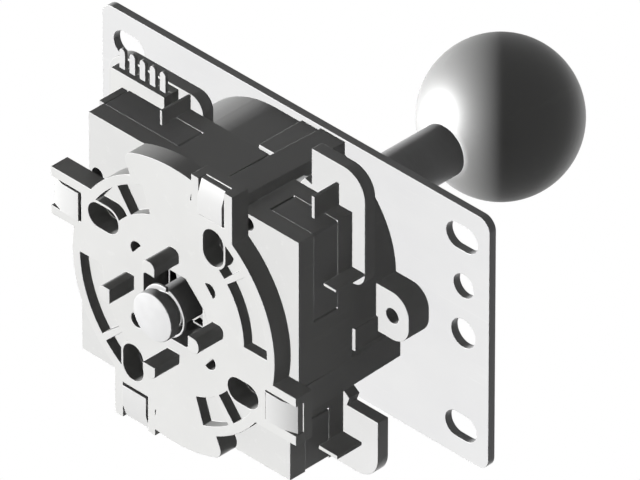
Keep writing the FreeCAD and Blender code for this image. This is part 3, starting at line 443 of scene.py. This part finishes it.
# The tray has wells under the gate's four oval holes, which look dark all the way down
tray = {"slot": "frame_plastic", "face": "frameGrey", "edge": "mouldedEdge", "bevel": 0.05,
        "wells": {"x": 9.95, "y": -17.15, "long": 7.5, "wide": 5.0, "low": -27.6, "high": -25.6,
                  "points": 48}}
gate = {"slot": "gate_plastic", "face": "gateGrey", "edge": "mouldedEdge", "bevel": 0.08}
header = {"slot": "header_plastic", "face": "headerGrey", "edge": "mouldedEdge", "bevel": 0.05}
board = {"slot": "board_laminate", "face": "boardGrey", "edge": "boardGrey", "bevel": 0.05}
softened("main_housing", "base", housing)
softened("switch_frame", "base", tray)
softened("restrictor_gate", "base", gate)
softened("connector_header", "base", header)
softened("circuit_board", "base", board)

# A case fills its bay from floor to roof. Its end lies past the first limit and its outer side
# past both, so the side moves out by the two amounts together, which closes the bay's seams
case = {"slot": "switch_plastic", "face": "switchGrey", "edge": "switchGrey", "bevel": 0.02,
        "taller": 0.18, "wider": {23.5: 0.03, 25.5: 0.05}}
lever = {"slot": "lever_spring_steel", "face": "leverSteel", "edge": "zincEdge", "bevel": 0.05}
plunger = {"slot": "plunger_plastic", "face": "plungerWhite", "edge": "plungerWhite", "bevel": 0.05}
for number in range(1, 5):
    softened(f"switch_case_{number}", "base", case)
    softened(f"switch_lever_{number}", f"lever_{number}", lever)
    softened(f"switch_plunger_{number}", f"plunger_{number}", plunger)

plate = {"slot": "zinc_plate", "face": "zincPlate", "edge": "zincEdge", "bevel": 0.08}
# The screws end deeper in the ears' bores, which look dark from below
screws = {"slot": "zinc_screw", "face": "screwZinc", "edge": "zincEdge", "bevel": 0.06,
          "shorter": 1.3}
pins = {"slot": "tinned_pin", "face": "tinnedPin", "edge": "tinnedPin", "bevel": 0.06}
terminals = {"slot": "terminal_metal", "face": "terminalBrass", "edge": "terminalBrass",
             "bevel": 0.05}
softened("mounting_plate", "base", plate)
softened("plate_screws", "base", screws)
softened("connector_pins", "base", pins)
softened("switch_terminals", "base", terminals)
print("moulded and stamped pieces dressed")


# Closed outline of a block between two radii and two heights
def blockOutline(inner, outer, low, high):
    return [(inner, low), (outer, low), (outer, high), (inner, high)]


# A loop's rows close on themselves; a profile that runs from axis to axis stays open
def turnedPiece(name, profile, shape, loop=True):
    obj = gridMesh(name, turnedGrid(profile, shape["segments"]), rowsClose=loop)
    smoothShade(obj, shape["crease"])
    return obj


# Ball: an arc of a circle from the flat seat round to the pole, with the insert's pocket below.
# The arc starts a small turn past the seat's edge, which leaves the rim soft
ballShape = {"radius": 15.0, "centre": 49.6, "flat": 5.2, "pocket": 4.23, "pocketDeep": 14.03,
             "rim": 0.25, "rimTurn": 0.02, "rows": 72, "segments": 128, "crease": 40.0}
ballBase = ballShape["centre"] - math.sqrt(ballShape["radius"] ** 2 - ballShape["flat"] ** 2)


# From the pocket's top on the axis down its wall and across the seat, then up the sphere
def ballProfile(shape):
    pocketTop = ballBase + shape["pocketDeep"]
    inner = softCorners([(0.0, pocketTop), (shape["pocket"], pocketTop),
                         (shape["pocket"], ballBase), (shape["flat"] - shape["rim"], ballBase)],
                        shape["rim"], closed=False)
    start = math.asin(shape["flat"] / shape["radius"]) + shape["rimTurn"]
    angle = np.linspace(start, np.pi, shape["rows"])
    outer = np.stack([shape["radius"] * np.sin(angle),
                      shape["centre"] - shape["radius"] * np.cos(angle)], axis=1)
    outer[-1, 0] = 0.0
    return np.concatenate([inner, outer])


ball = turnedPiece("ball_knob", ballProfile(ballShape), ballShape, loop=False)
dress(ball, "stick", ["ball_top"], "ball_plastic", finishes["ballGrey"])

# Brass insert: a turned blank whose outer wall has straight knurls
insertShape = {"bore": 2.98, "outer": 4.2, "long": 14.0, "boreLong": 11.0, "soft": 0.3,
               "knurls": 36, "knurlPoints": 6, "knurlDeep": 0.10, "knurlFrom": 0.8,
               "knurlFade": 0.3, "crease": 40.0}


# From the bore's blind end on the axis down and out, then up the outer wall to the axis
def insertProfile(shape):
    boreTop = ballBase + shape["boreLong"]
    top = ballBase + shape["long"]
    return softCorners([(0.0, boreTop), (shape["bore"], boreTop), (shape["bore"], ballBase),
                        (shape["outer"], ballBase), (shape["outer"], top), (0.0, top)],
                       shape["soft"], closed=False)


# The radius falls by a cosine round the turn; the fall fades in from a little outside the bore
def knurledGrid(profile, shape):
    segments = shape["knurls"] * shape["knurlPoints"]
    grid = turnedGrid(profile, segments)
    outside = profile[:, 0] - shape["bore"] - shape["knurlFrom"]
    wall = np.clip(outside / shape["knurlFade"], 0.0, 1.0)
    wave = 0.5 - 0.5 * np.cos(shape["knurls"] * fullTurn(segments))
    knurl = 1.0 - wall[:, None] * shape["knurlDeep"] / shape["outer"] * wave[None, :]
    grid[..., :2] *= knurl[..., None]
    return grid


insert = gridMesh("knurled_insert", knurledGrid(insertProfile(insertShape), insertShape))
smoothShade(insert, insertShape["crease"])
dress(insert, "stick", ["ball_insert"], "insert_brass", finishes["insertBrass"])

# Sleeve: a tube with softened rims
sleeveShape = {"bore": 3.43, "outer": 5.0, "low": -3.5, "rim": 0.35, "segments": 96, "crease": 40.0}
sleeveOutline = blockOutline(sleeveShape["bore"], sleeveShape["outer"],
                             sleeveShape["low"], ballBase)
sleeve = turnedPiece("sleeve_tube", softCorners(sleeveOutline, sleeveShape["rim"]), sleeveShape)
dress(sleeve, "stick", ["shaft_sleeve"], "sleeve_steel", finishes["sleeveSteel"])

# Shaft: turned steps with chamfers, then the thread inside the ball
shaftShape = {"end": -36.3, "endRadius": 4.75, "endStep": -34.2, "groove": 3.5, "grooveTop": -32.85,
              "neck": 3.75, "shoulder": -23.05, "stem": 3.4, "break": 0.3, "segments": 96,
              "crease": 30.0}
threadShape = {"radius": 2.95, "top": 46.03, "pitch": 1.0, "deep": 0.55, "rowsPerPitch": 10,
               "first": 0.1, "tip": 0.5, "slope": 1.6, "crest": 0.3,
               "runIn": 0.8, "bareTip": 0.4, "runOut": 0.6}


# From the end's middle out and up over each step, then even rows for the thread and its tip
def shaftProfile(shape, thread):
    steps = [(0.0, shape["end"]), (shape["endRadius"], shape["end"]),
             (shape["endRadius"], shape["endStep"]), (shape["groove"], shape["endStep"]),
             (shape["groove"], shape["grooveTop"]), (shape["neck"], shape["grooveTop"]),
             (shape["neck"], shape["shoulder"]), (shape["stem"], shape["shoulder"]),
             (shape["stem"], ballBase), (thread["radius"], ballBase)]
    body = softCorners(steps, shape["break"], closed=False)
    tipStart = thread["top"] - thread["tip"]
    height = np.arange(ballBase + thread["first"], tipStart,
                       thread["pitch"] / thread["rowsPerPitch"])
    rows = np.stack([np.full(len(height), thread["radius"]), height], axis=1)
    tip = [(thread["radius"], tipStart), (thread["radius"] - thread["tip"], thread["top"]),
           (0.0, thread["top"])]
    return np.concatenate([body, rows, tip])


# The radius falls by a rounded saw of height over pitch minus the share of a turn; the fall fades
# in above the ball's base and out below the tip
def threadedGrid(profile, thread, segments):
    grid = turnedGrid(profile, segments)
    height = grid[..., 2]
    phase = (height / thread["pitch"] - fullTurn(segments)[None, :] / (2 * np.pi)) % 1.0
    groove = np.clip(thread["slope"] * np.abs(2 * phase - 1) - thread["crest"], 0.0, 1.0)
    fadeIn = np.clip((height - ballBase - thread["runIn"]) / thread["runIn"], 0.0, 1.0)
    fadeOut = np.clip((thread["top"] - thread["bareTip"] - height) / thread["runOut"], 0.0, 1.0)
    fall = fadeIn * fadeOut * groove * thread["deep"] / thread["radius"]
    grid[..., :2] *= (1.0 - fall)[..., None]
    return grid


shaftRows = shaftProfile(shaftShape, threadShape)
shaft = gridMesh("turned_shaft", threadedGrid(shaftRows, threadShape, shaftShape["segments"]))
smoothShade(shaft, shaftShape["crease"])
dress(shaft, "stick", ["shaft"], "shaft_steel", finishes["turnedSteel"])

# Retaining ring: a flat strip round the groove whose inner edge is an off-centre circle, so it is
# wider opposite its gap
ringShape = {"outer": 5.1, "inner": 4.35, "offset": (0.33, 0.2), "low": -33.5, "thick": 0.6,
             "gapAngle": 280.2, "gap": 0.75, "soft": 0.12, "steps": 120, "crease": 35.0}


# Each row is the strip's section between the inner edge and the outer circle. The inner edge is
# where the ray at that angle leaves the off-centre circle
def ringGrid(shape):
    half = shape["gap"] / 2 / shape["outer"]
    angle = math.radians(shape["gapAngle"]) + np.linspace(half, 2 * np.pi - half, shape["steps"])
    direction = np.stack([np.cos(angle), np.sin(angle)], axis=1)
    along = direction @ np.array(shape["offset"])
    away = np.dot(shape["offset"], shape["offset"])
    inner = along + np.sqrt(along ** 2 - away + shape["inner"] ** 2)
    outline = blockOutline(0.0, 1.0, shape["low"], shape["low"] + shape["thick"])
    section = softCorners(outline, shape["soft"])
    share = section[:, 0][None, :]
    radius = inner[:, None] * (1 - share) + shape["outer"] * share
    return np.stack([radius * direction[:, :1], radius * direction[:, 1:],
                     np.broadcast_to(section[:, 1], radius.shape)], axis=-1)


ring = gridMesh("split_ring", cappedGrid(ringGrid(ringShape)))
smoothShade(ring, ringShape["crease"])
dress(ring, "stick", ["retaining_ring"], "ring_steel", finishes["ringSteel"])

# Pivot: a zone of a sphere with the shaft's bore through it
pivotShape = {"centre": -7.6, "radius": 7.5, "up": 4.1, "down": 4.6, "bore": 3.43,
              "soft": 0.2, "rows": 28, "segments": 112, "crease": 35.0}


# Zone outline: the circle's arc between two heights, then the bore's wall from top to bottom
def zoneOutline(shape):
    low = math.asin(-shape["down"] / shape["radius"])
    high = math.asin(shape["up"] / shape["radius"])
    angle = np.linspace(low, high, shape["rows"])
    zone = np.stack([shape["radius"] * np.cos(angle),
                     shape["centre"] + shape["radius"] * np.sin(angle)], axis=1)
    ends = np.array([(shape["bore"], shape["centre"] + shape["up"]),
                     (shape["bore"], shape["centre"] - shape["down"])])
    return np.concatenate([zone, ends])


pivotRows = softCorners(zoneOutline(pivotShape), pivotShape["soft"], steps=3)
pivot = turnedPiece("pivot_ball", pivotRows, pivotShape)
dress(pivot, "stick", ["pivot"], "pivot_plastic", finishes["pivotWhite"])

# Actuator: a crowned wheel on a narrower hub, with a ring groove in its top for the spring's foot
wheelShape = {"centre": -20.65, "radius": 9.5, "up": 2.4, "down": 0.95, "bore": 3.43, "hub": 7.75,
              "bottom": -23.05, "grooveIn": 5.75, "grooveOut": 7.45, "grooveFloor": -21.2,
              "soft": 0.2, "rows": 16, "segments": 112, "crease": 35.0}


# The crown's arc, the groove across the top, the bore's wall, then the hub from below
def wheelOutline(shape):
    zone = zoneOutline(shape)
    top = shape["centre"] + shape["up"]
    groove = [(shape["grooveOut"], top), (shape["grooveOut"], shape["grooveFloor"]),
              (shape["grooveIn"], shape["grooveFloor"]), (shape["grooveIn"], top)]
    hub = [(shape["bore"], shape["bottom"]), (shape["hub"], shape["bottom"]),
           (shape["hub"], shape["centre"] - shape["down"])]
    return np.concatenate([zone[:-2], groove, zone[-2:-1], hub])


wheelRows = softCorners(wheelOutline(wheelShape), wheelShape["soft"], steps=3)
wheel = turnedPiece("actuator_wheel", wheelRows, wheelShape)
dress(wheel, "stick", ["actuator"], "actuator_plastic", finishes["wheelGrey"])

# Spring seat: a plain washer
seatShape = {"inner": 6.0, "outer": 9.0, "low": -14.2, "high": -13.2, "soft": 0.15,
             "segments": 96, "crease": 35.0}
seatOutline = blockOutline(seatShape["inner"], seatShape["outer"],
                           seatShape["low"], seatShape["high"])
seat = turnedPiece("seat_washer", softCorners(seatOutline, seatShape["soft"]), seatShape)
dress(seat, "base", ["spring_seat"], "seat_steel", finishes["seatSteel"])

# Spring: a helix of constant pitch in two parts that meet above its middle. The upper part
# runs from the split up to the top, the lower from the bottom up to the split
springShape = {"radius": 6.6, "wire": 0.5, "pitch": 1.95, "low": -20.7, "split": -17.1,
               "high": -14.7, "past": 0.5, "rows": 110, "segments": 16, "crease": 60.0}


# Coil: the turn grows with the height over the pitch, and the wire's circle stands across it
def springHalf(name, low, high, shape):
    climbed = np.linspace(low - shape["low"], high - shape["low"], shape["rows"])
    turn = climbed / shape["pitch"] * 2 * np.pi
    outward = np.stack([np.cos(turn), np.sin(turn), np.zeros_like(turn)], axis=1)
    path = outward * shape["radius"]
    path[:, 2] = np.linspace(low, high, shape["rows"])
    half = gridMesh(name, cappedGrid(tubeGrid(path, outward, shape["wire"], shape["segments"])))
    smoothShade(half, shape["crease"])
    dress(half, None, [], "spring_steel", finishes["springSteel"])
    return half


springUpper = springHalf("spring_upper", springShape["split"], springShape["high"], springShape)
springLower = springHalf("spring_lower", springShape["low"], springShape["split"], springShape)
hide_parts("centering_spring")
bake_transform(springUpper)
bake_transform(springLower)
print("turned pieces and spring ready")

# Floor under the posts. Only the camera sees it, and only from above: the photograph's view from
# the gate side looks through it, and the lamps and reflections below the plate aren't cut off
floorShape = {"level": -37.25, "half": 3000.0, "colour": (0.92, 0.92, 0.92), "glow": 0.24}
corners = np.array([(-1, -1), (1, -1), (1, 1), (-1, 1)]) * floorShape["half"]
floorPoints = np.column_stack([corners, np.full(4, floorShape["level"])]) * mm
floorMesh = bpy.data.meshes.new("floor")
floorMesh.from_pydata(floorPoints.tolist(), [], [(0, 1, 2, 3)])
floorMesh.update()
floor = bpy.data.objects.new("floor", floorMesh)
bpy.context.scene.collection.objects.link(floor)
floorFinish = bpy.data.materials.new("paleFloor")
floorFinish.use_nodes = True
tree = floorFinish.node_tree
tree.nodes.clear()
paper = addNode(tree, "ShaderNodeBsdfDiffuse")
paper.inputs["Color"].default_value = (*floorShape["colour"], 1.0)
glow = addNode(tree, "ShaderNodeEmission")
glow.inputs["Strength"].default_value = floorShape["glow"]
bright = fedNode(tree, "ShaderNodeAddShader", [paper.outputs["BSDF"], glow.outputs["Emission"]])
clear = addNode(tree, "ShaderNodeBsdfTransparent")
path = addNode(tree, "ShaderNodeLightPath")
side = addNode(tree, "ShaderNodeNewGeometry")
shown = fedNode(tree, "ShaderNodeMath", [path.outputs["Is Camera Ray"], side.outputs["Backfacing"]],
                operation="SUBTRACT", use_clamp=True)
choose = fedNode(tree, "ShaderNodeMixShader",
                 [shown.outputs[0], clear.outputs["BSDF"], bright.outputs["Shader"]])
fedNode(tree, "ShaderNodeOutputMaterial", [choose.outputs["Shader"]])
floorMesh.materials.append(floorFinish)

# World: white to the camera and in reflections, a low even grey as light
skyShape = {"fill": 0.05}
whiteColour = (1.0, 1.0, 1.0, 1.0)
world = bpy.data.worlds.new("studio")
bpy.context.scene.world = world
world.use_nodes = True
tree = world.node_tree
tree.nodes.clear()
fillLight = addNode(tree, "ShaderNodeBackground")
fillLight.inputs["Color"].default_value = whiteColour
fillLight.inputs["Strength"].default_value = skyShape["fill"]
white = addNode(tree, "ShaderNodeBackground")
white.inputs["Color"].default_value = whiteColour
white.inputs["Strength"].default_value = 1.0
path = addNode(tree, "ShaderNodeLightPath")
either = fedNode(tree, "ShaderNodeMath",
                 [path.outputs["Is Camera Ray"], path.outputs["Is Glossy Ray"]],
                 operation="MAXIMUM")
orClear = fedNode(tree, "ShaderNodeMath",
                  [either.outputs[0], path.outputs["Is Transmission Ray"]],
                  operation="MAXIMUM")
choose = fedNode(tree, "ShaderNodeMixShader",
                 [orClear.outputs[0], fillLight.outputs["Background"], white.outputs["Background"]])
fedNode(tree, "ShaderNodeOutputWorld", [choose.outputs["Shader"]])


# Lamps: the photograph's key comes level from the picture's left and casts no shadow. Two lamps
# beside it show in reflections alone, one of them on the ball alone. The last lights the ball's
# side of the plate, which the photograph doesn't show. No lamp's light bounces on
keySide = (-1.0, 0.0, -1.0)
lampShape = {
    "key": {"from": keySide, "strength": 4.6, "spread": 4.0,
            "shadow": False, "diffuse": True, "glossy": True},
    "shine": {"from": keySide, "strength": 15.0, "spread": 6.0,
              "shadow": False, "diffuse": False, "glossy": True},
    "ballShine": {"from": keySide, "strength": 60.0, "spread": 10.0,
                  "shadow": False, "diffuse": False, "glossy": True, "only": ball},
    "ballSide": {"from": (-0.1, 0.7, 1.0), "strength": 3.3, "spread": 24.0,
                 "shadow": True, "diffuse": True, "glossy": False},
}
lampUp = (0.0, 1.0, 0.1)


# The object's Z axis points back from the target, and its X axis is square to that and to up
def aimed(obj, place, target, up):
    back = Vector(place) - Vector(target)
    back.normalize()
    right = Vector(up).cross(back).normalized()
    turn = Matrix((right, back.cross(right), back)).transposed()
    obj.matrix_world = Matrix.Translation(place) @ turn.to_4x4()


for name, shape in lampShape.items():
    data = bpy.data.lights.new(name, "SUN")
    data.energy = shape["strength"]
    data.angle = math.radians(shape["spread"])
    data.use_shadow = shape["shadow"]
    data.cycles.max_bounces = 0
    lamp = bpy.data.objects.new(name, data)
    bpy.context.scene.collection.objects.link(lamp)
    lamp.visible_glossy = shape["glossy"]
    lamp.visible_diffuse = shape["diffuse"]
    if "only" in shape:
        lit = bpy.data.collections.new(name + "Lit")
        lit.objects.link(shape["only"])
        lamp.light_linking.receiver_collection = lit
    aimed(lamp, shape["from"], (0.0, 0.0, 0.0), lampUp)

# Camera: the photograph is an isometric view from the gate side, so a long lens stands far off
# along the diagonal, with the plate's short side up the picture
cameraShape = {"back": (1.0, -1.0, -1.0), "up": (-0.4082, -0.8165, 0.4082),
               "right": (0.7071, 0.0, 0.7071), "aimRight": 3.333, "aimUp": -1.384,
               "frameWidth": 111.38, "lens": 1000.0, "sensor": 36.0, "near": 0.1, "far": 20.0}
cameraData = bpy.data.cameras.new("camera")
cameraData.lens = cameraShape["lens"]
cameraData.sensor_width = cameraShape["sensor"]
cameraData.clip_start = cameraShape["near"]
cameraData.clip_end = cameraShape["far"]
camera = bpy.data.objects.new("camera", cameraData)
bpy.context.scene.collection.objects.link(camera)
distance = cameraShape["frameWidth"] * cameraShape["lens"] / cameraShape["sensor"] * mm
aim = (np.array(cameraShape["right"]) * cameraShape["aimRight"]
       + np.array(cameraShape["up"]) * cameraShape["aimUp"]) * mm
stand = aim + np.array(cameraShape["back"]) / math.sqrt(3) * distance
aimed(camera, stand.tolist(), aim.tolist(), cameraShape["up"])
bpy.context.scene.camera = camera
bpy.context.scene.view_settings.view_transform = "Standard"
print("stage, lamps and camera ready")
